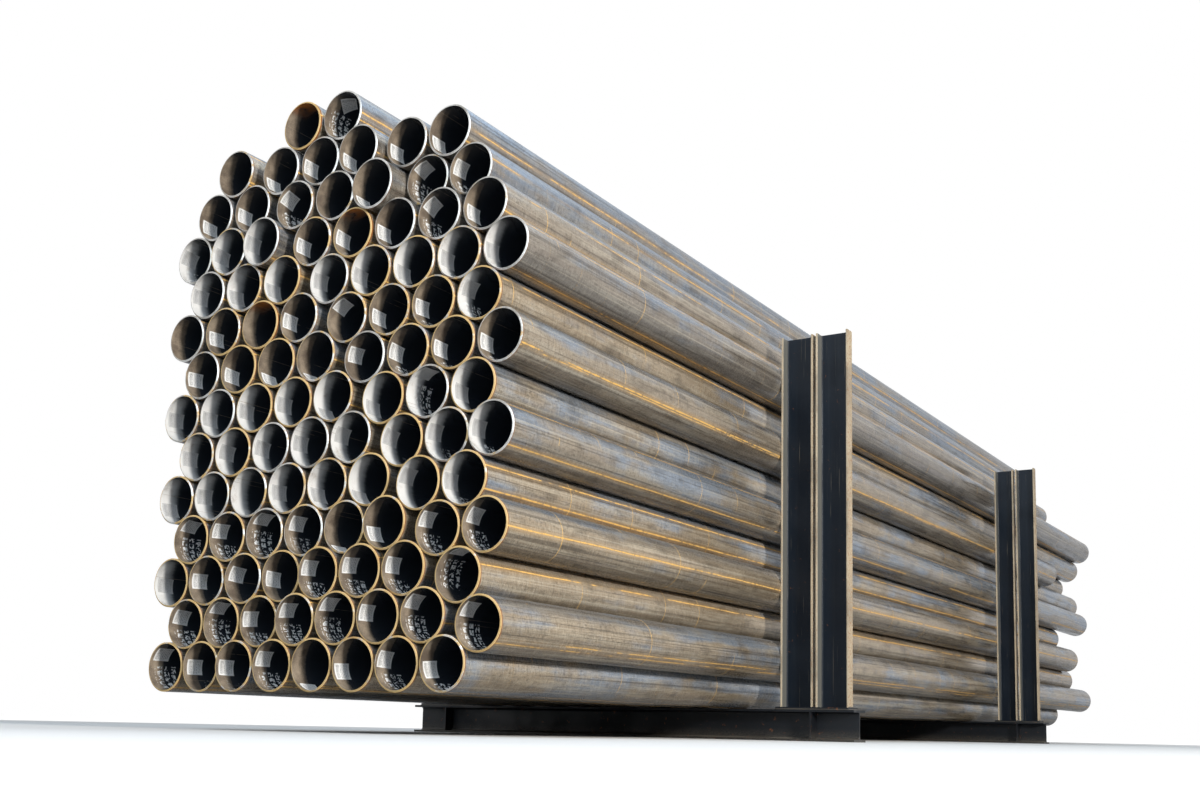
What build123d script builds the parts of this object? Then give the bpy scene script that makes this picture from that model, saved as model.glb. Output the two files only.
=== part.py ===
# Bundle of 103 steel pipes, stacked in layers between the posts of a yard rack.
# Frame: +X across the rack, +Y along the pipes away from the seen ends, +Z up, z = 0 on the ground.
import math
import os

from build123d import *

os.makedirs("parts", exist_ok=True)

# pipes, with both ends bevelled for welding
pipe_diameter = 273.0
pipe_wall = 8.8
root_face = 1.6
bevel_angle = 30.0
pipe_radius = pipe_diameter / 2
bore_radius = pipe_radius - pipe_wall
bevel_length = (pipe_wall - root_face) * math.tan(math.radians(bevel_angle))

# how the pipes lie, layers counted from the ground and places from the left post
pipes_across = 8
layer_count = 14
heaped_layers = 3
crown_start = 1
crown_pipes = 2
side_gap = 12.0
rest_gap = 0.3
bay_spare = 47.5
bay_width = (pipes_across + 1 / 2) * (pipe_diameter + side_gap) + bay_spare

# where the seen ends lie, from their mean plane: they lean back towards the top, most at the right
end_lean = 0.037
end_twist = 0.028
end_step = 2.0
end_cycle = 11
# pipes that were pushed further in, or left further out, than their neighbours
end_shift = {(12, 5): -35.0, (11, 3): -35.0, (12, 6): 65.0, (12, 7): 50.0, (13, 5): 50.0, (13, 6): 40.0}

# mixed lengths, as rolled, which leave the far ends ragged
mean_length = 11800.0
length_step = 170.0
length_cycle = 7
layer_stride = 5
place_stride = 3
# pipes whose far end shows beside the back posts
length_shift = {
    (13, 6): -500.0, (12, 7): -1000.0, (11, 8): -1050.0, (10, 8): 500.0,
    (9, 8): 500.0, (8, 8): -1200.0, (7, 8): 450.0, (6, 8): 350.0,
}

# sleepers, beams of H section across the rack
sleeper_depth = 200.0
sleeper_width = 200.0
sleeper_web = 9.0
sleeper_flange = 15.0
sleeper_root = 18.0
sleeper_overhang = 60.0
stiffener_thickness = 12.0
stiffener_snipe = 24.0
stiffener_inset = 3.0

# posts, channels that stand in pairs on a base plate, open towards the seen ends
front_post_depth = 220.0
front_post_width = 80.0
back_post_depth = 180.0
back_post_width = 70.0
post_web = 9.0
post_flange = 12.5
post_root = 12.5
post_toe = 5.0
pair_gap = 24.0
post_top = 2470.0

# base plates, and the beads that weld them to the sleepers and the posts to them
plate_thickness = 15.0
plate_margin = 20.0
plate_width = 160.0
plate_corner = 8.0
plate_bead = 6.0
post_bead = 7.0
bead_slope = 45.0

# where the posts stand along the pipes, their toes measured from the mean plane of the seen ends
front_overhang = 2987.0
station_spacing = 5093.0
front_station = front_overhang
back_station = front_overhang + station_spacing


def resting_on(a, b):
    """Centre of a pipe that lies on pipes a and b."""
    spacing = pipe_diameter + rest_gap
    dx, dz = b[0] - a[0], b[1] - a[1]
    apart = math.hypot(dx, dz)
    rise = math.sqrt(spacing ** 2 - apart ** 2 / 4)
    return ((a[0] + b[0]) / 2 - dz / apart * rise, (a[1] + b[1]) / 2 + dx / apart * rise)


def leaning(a, x):
    """Centre of a pipe that lies on pipe a and leans on a post."""
    spacing = pipe_diameter + rest_gap
    return (x, a[1] + math.sqrt(spacing ** 2 - (x - a[0]) ** 2))


def stack_layers():
    """Centres of the pipes, layer by layer, with the top ones heaped clear of the posts."""
    left = -bay_width / 2 + pipe_radius + rest_gap
    right = -left
    base = sleeper_depth + rest_gap + pipe_radius
    pitch = pipe_diameter + side_gap
    layers = [[(left + i * pitch, base) for i in range(pipes_across)]]
    for number in range(2, layer_count + 1):
        low = layers[-1]
        layer = [resting_on(a, b) for a, b in zip(low, low[1:])]
        if number <= layer_count - heaped_layers:
            if number % 2 == 0:
                layer.append(leaning(low[-1], right))
            else:
                layer.insert(0, leaning(low[0], left))
        layers.append(layer)
    layers[-1] = layers[-1][crown_start:crown_start + crown_pipes]
    return layers


stack = stack_layers()
middle_height = (sleeper_depth + stack[-1][0][1]) / 2


def front_end(layer, place, x, height):
    """Where the seen end of a pipe lies, from the mean plane of the seen ends."""
    lean = end_lean + end_twist * x / (bay_width / 2)
    step = (layer - place + 1) % end_cycle - end_cycle // 2
    return (height - middle_height) * lean - step * end_step + end_shift.get((layer, place), 0.0)


def pipe_length(layer, place):
    """Length of one pipe, the real ones being of mixed lengths."""
    step = (layer * layer_stride + place * place_stride) % length_cycle - length_cycle // 2
    return mean_length + length_shift.get((layer, place), step * length_step)


def all_pipes():
    """Layer number, centre, seen end and length of every pipe, from the mean plane."""
    found = []
    for number, row in enumerate(stack, start=1):
        for place, (x, z) in enumerate(row, start=1):
            found.append((number, x, z, front_end(number, place, x, z), pipe_length(number, place)))
    return found


pipes = all_pipes()
nearest = min(start for number, x, z, start, length in pipes)
farthest = max(start + length for number, x, z, start, length in pipes)
y_shift = -(nearest + farthest) / 2


def build_layer(number):
    """One layer of pipes that lie side by side and don't touch."""
    with BuildPart() as layer:
        for x, z, start, length in [pipe[1:] for pipe in pipes if pipe[0] == number]:
            front = start + y_shift
            with BuildSketch(Plane(origin=(x, front, z), x_dir=(1, 0, 0), z_dir=(0, 0, 1))):
                with BuildLine():
                    Polyline(
                        (bore_radius, 0), (bore_radius + root_face, 0), (pipe_radius, bevel_length),
                        (pipe_radius, length - bevel_length), (bore_radius + root_face, length),
                        (bore_radius, length), close=True,
                    )
                make_face()
            revolve(axis=Axis((x, front, z), (0, 1, 0)))
    layer.part.label = f"pipe_layer_{number:02d}"
    return layer


def pair_middle(depth):
    """Distance from the middle of the rack to the middle of a post pair."""
    return bay_width / 2 + depth + pair_gap / 2


def post_middles(side, depth):
    """Where the inner and the outer post of a pair stand across the rack."""
    return [side * (pair_middle(depth) + row * (pair_gap + depth) / 2) for row in (-1, 1)]


def build_sleeper(name, station, depth, width):
    """A sleeper with stiffener plates under the middle of both post pairs."""
    length = 2 * (pair_middle(depth) + pair_gap / 2 + depth + sleeper_overhang)
    middle = station + width / 2 + y_shift
    reach = (sleeper_width - sleeper_web) / 2
    low, high = sleeper_flange, sleeper_depth - sleeper_flange
    with BuildPart() as sleeper:
        with BuildSketch(Plane.YZ.offset(-length / 2)) as profile:
            with Locations((middle, sleeper_depth / 2)):
                Rectangle(sleeper_width, sleeper_depth)
                with Locations((-(sleeper_web + reach) / 2, 0), ((sleeper_web + reach) / 2, 0)):
                    Rectangle(reach, high - low, mode=Mode.SUBTRACT)
            columns = profile.vertices().group_by(Axis.X)
            fillet(columns[1] + columns[2], radius=sleeper_root)
        extrude(amount=length)
        for side in (-1, 1):
            at = side * pair_middle(depth) - stiffener_thickness / 2
            for face in (-1, 1):
                inner = middle + face * sleeper_web / 2
                outer = middle + face * (sleeper_width / 2 - stiffener_inset)
                with BuildSketch(Plane.YZ.offset(at)):
                    with BuildLine():
                        Polyline(
                            (outer, low), (outer, high), (inner + face * stiffener_snipe, high),
                            (inner, high - stiffener_snipe), (inner, low + stiffener_snipe),
                            (inner + face * stiffener_snipe, low), close=True,
                        )
                    make_face()
                extrude(amount=stiffener_thickness)
    sleeper.part.label = name
    return sleeper


def build_plate(name, side, station, depth, width):
    """The base plate under one pair of posts, with the weld beads round it and round the posts' feet."""
    middle = station + width / 2 + y_shift
    foot = sleeper_depth + plate_thickness
    plate_length = 2 * (depth + plate_margin) + pair_gap
    feet = [(x, middle) for x in post_middles(side, depth)]
    with BuildPart() as plate:
        with BuildSketch(Plane.XY.offset(sleeper_depth)):
            with Locations((side * pair_middle(depth), middle)):
                RectangleRounded(
                    plate_length + 2 * plate_bead, plate_width + 2 * plate_bead, plate_corner + plate_bead
                )
        extrude(amount=plate_bead, taper=bead_slope)
        with BuildSketch(Plane.XY.offset(sleeper_depth)):
            with Locations((side * pair_middle(depth), middle)):
                RectangleRounded(plate_length, plate_width, plate_corner)
        extrude(amount=plate_thickness)
        with BuildSketch(Plane.XY.offset(foot)):
            with Locations(*[(x, y + post_bead / 2) for x, y in feet]):
                Rectangle(depth + 2 * post_bead, width + post_bead)
        extrude(amount=post_bead, taper=bead_slope)
        with BuildSketch(Plane.XY.offset(foot)):
            with Locations(*feet):
                Rectangle(depth, width)
        extrude(amount=post_bead, mode=Mode.SUBTRACT)
    plate.part.label = name
    return plate


def build_post(name, middle_x, station, depth, width):
    """One channel post with its web at the back."""
    middle = station + width / 2 + y_shift
    foot = sleeper_depth + plate_thickness
    with BuildPart() as post:
        with BuildSketch(Plane.XY.offset(foot)) as profile:
            with Locations((middle_x, middle)):
                Rectangle(depth, width)
            with Locations((middle_x, middle - post_web / 2)):
                Rectangle(depth - 2 * post_flange, width - post_web, mode=Mode.SUBTRACT)
            fillet(profile.vertices().group_by(Axis.Y)[1], radius=post_root)
            toes = profile.vertices().group_by(Axis.Y)[0].sort_by(Axis.X)
            fillet(toes[1:-1], radius=post_toe)
        extrude(amount=sleeper_depth + post_top - foot)
    post.part.label = name
    return post


def save(piece):
    """Write one finished piece under its label."""
    export_step(piece.part, f"parts/{piece.part.label}.step")


for number in range(1, layer_count + 1):
    save(build_layer(number))

for place, station, depth, width in (
    ("front", front_station, front_post_depth, front_post_width),
    ("back", back_station, back_post_depth, back_post_width),
):
    save(build_sleeper(f"sleeper_{place}", station, depth, width))
    for side_name, side in (("left", -1), ("right", 1)):
        save(build_plate(f"base_plate_{place}_{side_name}", side, station, depth, width))
        for row_name, x in zip(("inner", "outer"), post_middles(side, depth)):
            save(build_post(f"post_{place}_{side_name}_{row_name}", x, station, depth, width))
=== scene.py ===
"""The looks of a yard rack full of steel pipes: mill scale, rust, paper labels, chalk and worn rack paint."""

import functools
import math
import random

import bmesh
import bpy
from bpy.props import FloatProperty, FloatVectorProperty, IntProperty, PointerProperty
from mathutils import Matrix, Vector


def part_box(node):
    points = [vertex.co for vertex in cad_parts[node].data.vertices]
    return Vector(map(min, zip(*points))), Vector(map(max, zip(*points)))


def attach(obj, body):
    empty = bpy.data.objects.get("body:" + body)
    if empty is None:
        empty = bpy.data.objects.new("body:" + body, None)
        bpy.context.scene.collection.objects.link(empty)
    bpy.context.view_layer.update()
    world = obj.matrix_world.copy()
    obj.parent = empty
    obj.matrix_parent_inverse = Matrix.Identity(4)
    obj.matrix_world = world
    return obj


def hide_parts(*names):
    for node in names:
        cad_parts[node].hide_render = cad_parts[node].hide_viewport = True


bl_info = {
    "name": "Pipe Stack",
    "version": (1, 0, 0),
    "blender": (4, 5, 0),
    "location": "3D View > Sidebar > Pipes",
    "description": "Dresses a stack of steel pipes and its yard rack",
    "category": "Object",
}

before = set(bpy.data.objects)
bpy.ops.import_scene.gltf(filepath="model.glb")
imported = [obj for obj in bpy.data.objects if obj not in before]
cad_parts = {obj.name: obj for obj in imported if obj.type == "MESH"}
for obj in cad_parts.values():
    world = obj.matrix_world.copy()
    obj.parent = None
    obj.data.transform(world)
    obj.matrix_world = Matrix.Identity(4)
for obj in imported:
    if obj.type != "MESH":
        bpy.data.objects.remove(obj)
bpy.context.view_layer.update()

# the photograph's frame in pixels, the film's width in millimetres and how far the camera sees in metres
PHOTO_WIDTH = 1200
PHOTO_HEIGHT = 800
FILM_WIDTH = 36.0
VIEW_DEPTH = 200.0

# the stack, as the frame holds it, and the distance below which two points are one
LAYER_NODES = sorted(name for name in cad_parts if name.startswith("pipe_layer_"))
RACK_NODES = sorted(set(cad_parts) - set(LAYER_NODES))
WELD = 1e-5

# fixed seeds of the random draws, and the angle past which an edge is sharp
PIPE_SEED = 7
LABEL_SEED = 11
SHARP_ANGLE = math.radians(25)
FULL_TURN = 2 * math.pi
CLOCK_HOURS = 12

# clock hour of the paper label in each bore, seen from the front, from the left post; 0 is a bore with none
LABEL_HOURS = (
    (10.2, 9.0, 8.9, 9.6, 6.8, 8.5, 9.4, 8.6),
    (9.7, 10.5, 9.3, 9.9, 10.3, 9.4, 10.2, 10.2),
    (8.9, 9.1, 9.5, 8.9, 9.6, 9.6, 9.4, 11.5),
    (10.5, 9.7, 10.6, 9.8, 6.9, 8.3, 9.9, 9.9),
    (8.3, 9.2, 0.0, 8.9, 8.3, 7.7, 9.8, 9.0),
    (9.1, 9.3, 9.2, 9.2, 9.5, 9.5, 9.5, 9.3),
    (9.2, 8.8, 9.0, 9.1, 7.7, 8.5, 11.1, 8.8),
    (9.0, 8.8, 7.8, 7.2, 9.6, 9.2, 8.9, 8.8),
    (0.0, 8.8, 0.0, 9.1, 10.5, 8.8, 9.0, 9.9),
    (9.3, 8.6, 8.5, 9.3, 9.0, 8.6, 9.0, 8.9),
    (9.7, 9.1, 9.3, 9.1, 9.0, 8.7, 10.3, 8.8),
    (8.6, 8.9, 10.1, 0.0, 7.8, 10.7, 9.7),
    (0.0, 8.3, 9.0, 8.6, 8.8, 8.5),
    (0.0, 11.2),
)
# labels that lie deeper or more askew than the rest, by layer and place: metres further in, degrees of tilt
ASKEW_LABELS = {
    (14, 2): (0.04, 38.0), (12, 6): (0.006, 12.0), (11, 7): (0.008, 14.0), (12, 3): (0.004, 11.0),
    (9, 5): (0.004, 12.0),
}
# the most that any other label lies further in, in metres, and that it tilts, in degrees
LABEL_SLACK = 0.014
LABEL_TILT = 5.0
# how much print grey a label in a bright bore takes as painted shade
BRIGHT_BORE_LABEL_SHADE = 0.45
# points of a label's mesh round the bore and along it, and the values stored with each label
LABEL_POINTS = (9, 4)
LABEL_TRAITS = ("middle_x", "middle_y", "middle_z", "turn", "tilt", "grey")

# how brightly each bore's mouth is worn and painted sunlit, one letter a pipe: b bright, m matte, o matte
# with rust at the top
BORE_KINDS = (
    "mmmmmmmm", "mmmmmmmm", "bmmmmmmm", "mmmmmmmm", "bbbbbbbb", "bbbbbbbb", "bbbbbbbb",
    "mmmmmmmm", "mmommmmb", "bbbbbbbb", "bbbmommm", "mmmmmmm", "mmmmmm", "om",
)
# how much chalk each bore carries, one digit a pipe, with the digit of a full one
CHALK_MARKS = (
    "63362056", "56565066", "20016666", "66630056", "00010014", "00220245", "21100080",
    "22000665", "02000056", "32020255", "50023064", "0060055", "300021", "08",
)
FULL_CHALK = 8
# the chalk lies this many hours short of the label, or of where the label would be
CHALK_BEHIND = 2.2
USUAL_HOUR = 9.3

# damp of a pipe, which rusts its rims: at the bottom of the stack, least of all, and the spread of the draw
BOTTOM_DAMP = 1.1
LEAST_DAMP = 0.12
DAMP_SPREAD = (-0.3, 0.45)
OPEN_RUST = 2.0

# how far apart the patterns of two pipes lie for a whole step of the seed, across and along
PATTERN_APART = (31.0, 97.0)
# the vectors stored on the pipes: place from the seen end's centre; length, seed, roll; rust, polish, chalk
PIPE_VECTORS = ("pipe_place", "pipe_traits", "pipe_state")

# noise that covers the outsides: cells in a metre, the same along the pipe as a share of that, detail
SCALE_STREAKS = {
    "band": (7.0, 0.09, 3.0), "streak": (30.0, 0.05, 4.0), "fine": (190.0, 0.03, 4.0),
    "mottle": (120.0, 0.8, 5.0), "smudge": (9.0, 0.4, 7.0), "scored": (75.0, 0.0035, 2.0),
    "rolled": (20.0, 9.0, 4.0),
}
# coats over the two kinds of scale, in order: what steers it, where it starts and is full, share, colour; the
# underside coat is painted shade on the lower half of each pipe, and the upper coat a painted blue sky sheen
# on top
SCALE_COATS = (
    ("underside", 0.35, -0.5, 0.34, "smudge_and_shade_scale"), ("streak", 0.45, 0.7, 0.34, "scale_pale"),
    ("rolled", 0.5, 0.7, 0.42, "scale_pale"), ("upper", 0.25, 0.95, 0.5, "sky_sheen_and_weathered_scale"),
    ("damp", 0.75, 0.2, 0.42, "sky_sheen_and_weathered_scale"), ("fine", 0.52, 0.64, 0.2, "smudge_and_shade_scale"),
    ("rolled", 0.47, 0.3, 0.44, "smudge_and_shade_scale"), ("mottle", 0.5, 0.64, 0.5, "smudge_and_shade_scale"),
    ("smudge", 0.5, 0.7, 0.42, "smudge_and_shade_scale"), ("scored", 0.58, 0.63, 0.45, "smudge_and_shade_scale"),
    ("scored", 0.4, 0.37, 0.3, "scale_pale"),
)
# lines along a pipe, outside and in its bore: turns round it, width in turns, level below which it is broken
WATER_LINES = (
    (0.0, 0.0082, 0.36), (0.21, 0.005, 0.44), (0.4, 0.007, 0.42), (0.61, 0.0045, 0.46), (0.79, 0.0075, 0.4),
)
BORE_SCRATCHES = ((0.0, 0.0035, 0.46), (0.03, 0.0035, 0.46), (0.34, 0.0035, 0.46))
# the weathered middle of the bevel, metres out from the bore: where it starts, where it ends
RIM_MIDDLE = ((0.0012, 0.0022), (0.0075, 0.0055))

# the floor: half its side, where it fades to white, its darkest grain and what matt surfaces get of it
FLOOR_REACH = 400.0
FLOOR_FADE = (7.5, 14.0)
FLOOR_GRAIN = 0.97
FLOOR_DIM = 0.27
# the lamps, whose watts are stage fields of the same names: place, what they face, side, colour
LAMPS = {
    "key": ((15.5, -10.5, 5.2), (0.0, -4.0, 1.6), 2.0, (1.0, 0.96, 0.9)),
    "fill": ((2.5, -19.0, 7.0), (0.0, -4.0, 1.6), 12.0, (0.76, 0.88, 1.0)),
    "back": ((-9.0, 16.0, 6.0), (0.0, 3.0, 1.5), 8.0, (1.0, 0.99, 0.97)),
    "top": ((1.0, 0.0, 13.0), (0.0, 0.0, 2.0), 12.0, (0.62, 0.82, 1.0)),
}


def colour_field(name, description, default):
    """A colour for the panel."""
    return FloatVectorProperty(name=name, description=description, default=default, subtype="COLOR")


def length_field(name, description, default):
    """A length in metres for the panel."""
    return FloatProperty(name=name, description=description, default=default, unit="LENGTH")


def number_field(name, description, default, subtype):
    """An angle, a power, a count of pixels or a share for the panel."""
    return FloatProperty(name=name, description=description, default=default, subtype=subtype)


class PipeLook(bpy.types.PropertyGroup):
    """Sizes and colours of the pipes."""

    sides: IntProperty(name="Sides", description="Flat faces round each pipe", default=96, min=16)
    wall: length_field("Wall", "Wall of a pipe", 0.0088)
    inner: length_field("Bore radius", "Half the bore", 0.1277)
    root_face: length_field("Root face", "Flat rim that the bevel leaves", 0.0016)
    bevel: length_field("Bevel", "Length of the weld bevel", 0.00416)
    scale_brown: colour_field("Brown scale", "Warm mill scale", (0.42, 0.335, 0.235))
    scale_blue: colour_field("Blue scale", "Cool mill scale", (0.31, 0.355, 0.42))
    scale_pale: colour_field("Pale scale", "Rubbed mill scale", (0.7, 0.63, 0.5))
    # painted blue sky reflection on the tops of the pipes, and the weathered scale of the drier upper layers
    sky_sheen_and_weathered_scale: colour_field("Weathered scale", "Blue grey scale on top", (0.15, 0.185, 0.235))
    # dark scale: smudges on the mill scale, and painted shade on the undersides
    smudge_and_shade_scale: colour_field("Dark scale", "Smudged mill scale", (0.042, 0.034, 0.025))
    rust_line: colour_field("Rust line", "Lines left by trapped rain", (0.86, 0.52, 0.15))
    rust_stain: colour_field("Rust stain", "Stain beside the lines", (0.55, 0.34, 0.14))
    rust: colour_field("Rust", "Old rust", (0.27, 0.1, 0.028))
    rim_rust: colour_field("Rim rust", "Fresh rust on the bevels", (0.78, 0.5, 0.15))
    bare: colour_field("Bare steel", "Machined bevels", (0.8, 0.8, 0.78))
    bare_grey: colour_field("Grey steel", "Weathered bevels", (0.38, 0.37, 0.34))
    rim_dark: colour_field("Dark bevel", "Weathered middle of the bevels", (0.1, 0.075, 0.05))
    bore_dark: colour_field("Bore", "Inside, past the mouth", (0.02, 0.025, 0.033))
    bore_film: colour_field("Bore film", "Inside, by the rim", (0.055, 0.055, 0.058))
    bore_rust: colour_field("Bore rust", "Fresh rust in the mouth", (0.5, 0.17, 0.03))
    bore_grey: colour_field("Bore grey", "Bright walls, further in", (0.3, 0.33, 0.36))
    bore_mouth: colour_field("Bore mouth", "Inside, near the mouth", (0.13, 0.1, 0.075))
    bore_dust: colour_field("Bore dust", "Dust near the mouth", (0.36, 0.29, 0.215))
    # polish, and painted sunlight on the left walls of the bright bores
    bore_polish_and_sunlight: colour_field("Bore polish", "Bright inner walls", (0.95, 0.94, 0.92))
    chalk: colour_field("Chalk", "Chalk in the bores", (0.95, 0.95, 0.94))


class LabelLook(bpy.types.PropertyGroup):
    """Sizes and colours of the paper labels."""

    width: length_field("Width", "Along the pipe", 0.105)
    height: length_field("Height", "Round the bore", 0.085)
    inset: length_field("Inset", "From the pipe's end", 0.012)
    lift: length_field("Lift", "Off the bore", 0.0006)
    paper: colour_field("Paper", "Label paper", (0.9, 0.9, 0.89))
    soil: colour_field("Soil", "Finger marks", (0.5, 0.47, 0.4))
    print_grey: colour_field("Print", "Printed rules", (0.16, 0.16, 0.17))


class RackLook(bpy.types.PropertyGroup):
    """Colours of the posts, plates and sleepers."""

    # the slate paint is darkened to its look in shade: painted shade
    paint: colour_field("Paint", "Slate blue paint", (0.004, 0.008, 0.0145))
    paint_pale: colour_field("Chalked paint", "Weathered paint", (0.018, 0.023, 0.028))
    paint_dark: colour_field("Dark paint", "Paint in the shade", (0.004, 0.0055, 0.008))
    # painted light: the flange sides as they look when lit
    flange_sunlit_grey: colour_field("Flange", "Inner sides of the flanges", (0.17, 0.17, 0.155))
    # painted sunlight on the toes and on the flanges turned away from the pipes, and wear on the cut tops and
    # scuffs
    worn: colour_field("Worn edge", "Rubbed flange edges", (0.5, 0.42, 0.3))
    dust: colour_field("Dust", "Yard dust", (0.2, 0.175, 0.14))
    rust: colour_field("Rust", "Rust on chips", (0.3, 0.11, 0.035))


class StageLook(bpy.types.PropertyGroup):
    """Camera, lamps and floor."""

    place: FloatVectorProperty(
        name="Camera", description="Where the camera stands", default=(4.815, -11.103, 0.0485),
        subtype="TRANSLATION",
    )
    yaw: number_field("Yaw", "Camera turned right", math.radians(-32.08), "ANGLE")
    pitch: number_field("Pitch", "Camera tipped up", math.radians(7.41), "ANGLE")
    roll: number_field("Roll", "Camera rolled", math.radians(1.24), "ANGLE")
    focal: number_field("Focal length", "In photograph pixels", 1327.8, "PIXEL")
    centre_y: number_field("Principal point", "Pixels from the top", 556.3, "PIXEL")
    floor: colour_field("Floor", "Pale floor", (0.86, 0.86, 0.86))
    key: number_field("Key", "Watts of the key lamp", 2900.0, "POWER")
    fill: number_field("Fill", "Watts of the fill lamp", 1600.0, "POWER")
    back: number_field("Back", "Watts of the lamp behind", 1300.0, "POWER")
    top: number_field("Top", "Watts of the overhead lamp", 560.0, "POWER")
    ambient: number_field("Ambient", "World light on matt surfaces", 0.15, "FACTOR")


class Value:
    """One output of a node, to be reckoned with like a plain number."""

    def __init__(self, nodes, socket):
        self.nodes = nodes
        self.socket = socket

    def __add__(self, other):
        return self.nodes.math("ADD", self, other)

    def __sub__(self, other):
        return self.nodes.math("SUBTRACT", self, other)

    def __rsub__(self, other):
        return self.nodes.math("SUBTRACT", other, self)

    def __mul__(self, other):
        return self.nodes.math("MULTIPLY", self, other)

    def __truediv__(self, other):
        return self.nodes.math("DIVIDE", self, other)

    def __abs__(self):
        return self.nodes.math("ABSOLUTE", self)

    __radd__ = __add__
    __rmul__ = __mul__


class Nodes:
    """Builds one node tree from plain values and other nodes' outputs."""

    def __init__(self, tree):
        self.tree = tree

    def feed(self, socket, value):
        """Link a socket, or set it to a plain value; a colour gets its alpha."""
        if isinstance(value, Value):
            self.tree.links.new(value.socket, socket)
        elif socket.type == "RGBA":
            socket.default_value = (*value[:3], 1.0)
        else:
            socket.default_value = value

    def add(self, kind, inputs=None, **settings):
        """A node with its settings and inputs, given by name or index."""
        made = self.tree.nodes.new(kind)
        for name, value in settings.items():
            setattr(made, name, value)
        for key, value in (inputs or {}).items():
            self.feed(made.inputs[key], value)
        return made

    def out(self, kind, inputs=None, key=0, **settings):
        """One output of a new node."""
        return Value(self, self.add(kind, inputs, **settings).outputs[key])

    def outs(self, node):
        """All outputs of a node, by name."""
        return {socket.name: Value(self, socket) for socket in node.outputs}

    def math(self, operation, *values):
        """Result of a Math node."""
        return self.out("ShaderNodeMath", dict(enumerate(values)), operation=operation)

    def vector(self, operation, *values):
        """Result of a Vector Math node."""
        return self.out("ShaderNodeVectorMath", dict(enumerate(values)), operation=operation)

    def combine(self, x, y, z):
        """A vector from three values."""
        return self.out("ShaderNodeCombineXYZ", {0: x, 1: y, 2: z})

    def split(self, vector):
        """The three values of a vector."""
        return list(self.outs(self.add("ShaderNodeSeparateXYZ", {0: vector})).values())

    def most(self, *values):
        """The largest of some values."""
        return functools.reduce(lambda a, b: self.math("MAXIMUM", a, b), values)

    def wrapped(self, turns):
        """Turns without the whole ones, from half a turn back to half a turn on."""
        return turns - self.math("ROUND", turns)

    def noise(self, vector, scale, detail=3.0, roughness=0.5, distortion=0.0):
        """Grey noise between 0 and 1."""
        return self.out("ShaderNodeTexNoise", {
            "Vector": vector, "Scale": scale, "Detail": detail, "Roughness": roughness,
            "Distortion": distortion,
        })

    def step(self, value, low, high):
        """0 below low, 1 above high and smooth between them; low may be the larger."""
        inputs = {0: value, 1: low, 2: high}
        return self.out("ShaderNodeMapRange", inputs, interpolation_type="SMOOTHSTEP")

    def between(self, value, rise, fall):
        """1 between two edges and 0 outside them, each edge being the limits of a step."""
        return self.step(value, *rise) * self.step(value, *fall)

    def blend(self, factor, a, b):
        """Colour a, going to colour b as the factor rises."""
        return self.out("ShaderNodeMix", {0: factor, 6: a, 7: b}, 2, data_type="RGBA")

    def bump(self, height, distance, strength):
        """A normal from a height, which a distance in metres scales."""
        return self.out("ShaderNodeBump", {"Strength": strength, "Distance": distance, "Height": height})

    def group(self, tree, **inputs):
        """Outputs of a shader group placed with these values; an underscore stands for a space."""
        named = {name.replace("_", " "): value for name, value in inputs.items()}
        return self.outs(self.add("ShaderNodeGroup", named, node_tree=tree))


def new_group(name, inputs, kind="Shader"):
    """A node group with named inputs, each given by its default or by its kind: its builder and inputs."""
    tree = bpy.data.node_groups.new(name, kind + "NodeTree")
    for label, default in inputs.items():
        number = "Int" if isinstance(default, int) else "Float"
        word = default if isinstance(default, str) else number
        socket = tree.interface.new_socket(label, in_out="INPUT", socket_type="NodeSocket" + word)
        if word == number:
            socket.default_value = default
    nodes = Nodes(tree)
    return nodes, nodes.outs(nodes.add("NodeGroupInput"))


def close_group(nodes, outputs):
    """The finished tree of a group that puts out these values."""
    words = {"VALUE": "Float", "VECTOR": "Vector", "GEOMETRY": "Geometry"}
    for label, value in outputs.items():
        kind = "NodeSocket" + words[value.socket.type]
        nodes.tree.interface.new_socket(label, in_out="OUTPUT", socket_type=kind)
    nodes.add("NodeGroupOutput", outputs)
    return nodes.tree


def place_group():
    """Where a point lies on its own pipe, and the state that pipe is in."""
    nodes = new_group("place_on_pipe", {})[0]
    mark = nodes.out("ShaderNodeAttribute", key="Fac", attribute_name="pipe_mark")
    place, traits, state = (
        nodes.out("ShaderNodeAttribute", key="Vector", attribute_name=name) for name in PIPE_VECTORS
    )
    x, along, z = nodes.split(place)
    length, seed, roll = nodes.split(traits)
    rust, polish, chalk = nodes.split(state)
    clock = nodes.math("ARCTAN2", x, z) / FULL_TURN
    rolled = nodes.out("ShaderNodeVectorRotate", {"Vector": place, "Angle": roll}, rotation_type="Y_AXIS")
    apart = nodes.combine(*(seed * step for step in PATTERN_APART), 0.0)
    return close_group(nodes, {
        "Around": clock + roll / FULL_TURN, "Clock": clock, "Along": along,
        "From End": nodes.math("MINIMUM", along, length - along), "Seed": seed, "Rust": rust,
        "Polish": polish, "Chalk": chalk, "Mark": mark, "Radius": nodes.math("SQRT", x * x + z * z),
        "Pattern": nodes.vector("ADD", rolled, apart),
    })


def streak_group():
    """Noise drawn out along the pipes."""
    nodes, get = new_group("streaks", {"Pattern": "Vector", "Scale": 40.0, "Stretch": 0.04, "Detail": 4.0})
    drawn = nodes.vector("MULTIPLY", get["Pattern"], nodes.combine(1.0, get["Stretch"], 1.0))
    return close_group(nodes, {"Value": nodes.noise(drawn, get["Scale"], get["Detail"], 0.6)})


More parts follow.
